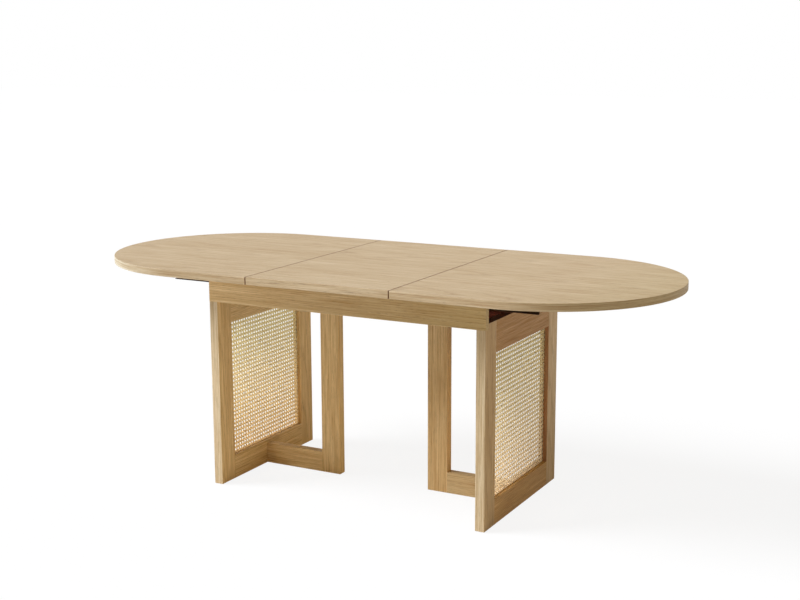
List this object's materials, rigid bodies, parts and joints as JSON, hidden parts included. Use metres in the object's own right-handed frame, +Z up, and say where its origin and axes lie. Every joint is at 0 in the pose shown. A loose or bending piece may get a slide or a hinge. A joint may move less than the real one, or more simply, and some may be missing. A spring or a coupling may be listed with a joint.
{
  "type": "butterfly leaf table",
  "caption": "Long oval oak dining table, opened out with its folding butterfly leaf in place, on T-shaped legs with woven cane panels and open inner frames.",
  "frame": {"origin": "on the floor, under the middle of the top", "axes": "+X along the table to its right-hand end, -Y its front, +Z up"},
  "size_m": [1.9978, 0.866, 0.75],
  "materials": {
    "oak": "light natural oak, matt lacquer",
    "cane": "natural woven cane",
    "beech": "plain beech",
    "black_steel": "black, satin",
    "zinc_steel": "zinc plated",
    "hinge_brass": "plain brass",
    "felt": "brown felt",
    "nylon": "beige nylon"
  },
  "bodies": {
    "base": {"base_pivot_pins": "zinc_steel", "corner_blocks": "oak", "foot_glides": "nylon", "front_apron": "oak", "leaf_pads": "felt", "left_cane": "cane", "left_cross_rail": "oak", "left_front_slide": "black_steel", "left_front_stile": "oak", "left_leg_dowels": "beech", "left_open_bottom_rail": "oak", "left_open_post": "oak", "left_open_top_rail": "oak", "left_panel_bottom_rail": "oak", "left_panel_top_rail": "oak", "left_pivot_plate": "black_steel", "left_rear_slide": "black_steel", "left_rear_stile": "oak", "pivot_plate_screws": "zinc_steel", "rear_apron": "oak", "right_cane": "cane", "right_cross_rail": "oak", "right_front_slide": "black_steel", "right_front_stile": "oak", "right_leg_dowels": "beech", "right_open_bottom_rail": "oak", "right_open_post": "oak", "right_open_top_rail": "oak", "right_panel_bottom_rail": "oak", "right_panel_top_rail": "oak", "right_pivot_plate": "black_steel", "right_rear_slide": "black_steel", "right_rear_stile": "oak", "slide_screws": "zinc_steel", "stow_pads": "felt"},
    "left_top": {"left_front_angle": "black_steel", "left_front_runner": "black_steel", "left_rear_angle": "black_steel", "left_rear_runner": "black_steel", "left_top": "oak", "left_top_screws": "zinc_steel"},
    "right_top": {"right_front_angle": "black_steel", "right_front_runner": "black_steel", "right_rear_angle": "black_steel", "right_rear_runner": "black_steel", "right_top": "oak", "right_top_screws": "zinc_steel"},
    "front_arms": {"left_front_arm": "black_steel", "right_front_arm": "black_steel"},
    "rear_arms": {"left_rear_arm": "black_steel", "right_rear_arm": "black_steel"},
    "front_wing": {"front_hinge_barrels": "hinge_brass", "front_wing": "oak", "left_wing_bracket": "black_steel", "right_wing_bracket": "black_steel", "wing_bracket_screws": "zinc_steel", "wing_pivot_pins": "zinc_steel"},
    "rear_wing": {"rear_hinge_barrels": "hinge_brass", "rear_wing": "oak"}
  },
  "joints": [
    {"name": "left_top_slide", "type": "slide", "parent": "base", "child": "left_top", "axis": [-1, 0, 0], "range_m": [0, 0.05]},
    {"name": "right_top_slide", "type": "slide", "parent": "base", "child": "right_top", "axis": [1, 0, 0], "range_m": [0, 0.05]},
    {"name": "leaf_stow", "type": "hinge", "parent": "base", "child": "front_arms", "pos_m": [0, -0.13772, 0.64333], "axis": [-1, 0, 0], "range_deg": [0, 137]},
    {"name": "front_wing_level", "type": "hinge", "parent": "front_arms", "child": "front_wing", "pos_m": [0, -0.235, 0.714], "axis": [1, 0, 0], "range_deg": [0, 137]},
    {"name": "rear_arm_swing", "type": "hinge", "parent": "base", "child": "rear_arms", "pos_m": [0, 0.01228, 0.64333], "axis": [-1, 0, 0], "range_deg": [0, 137]},
    {"name": "rear_wing_fold", "type": "hinge", "parent": "front_wing", "child": "rear_wing", "pos_m": [0, 0, 0.75025], "axis": [1, 0, 0], "range_deg": [0, 180]}
  ],
  "couplings": [
    {"joint": "front_wing_level", "follows": "leaf_stow", "ratio": 1},
    {"joint": "rear_arm_swing", "follows": "leaf_stow", "ratio": 1},
    {"joint": "rear_wing_fold", "follows": "leaf_stow", "ratio": 1.3138}
  ]
}
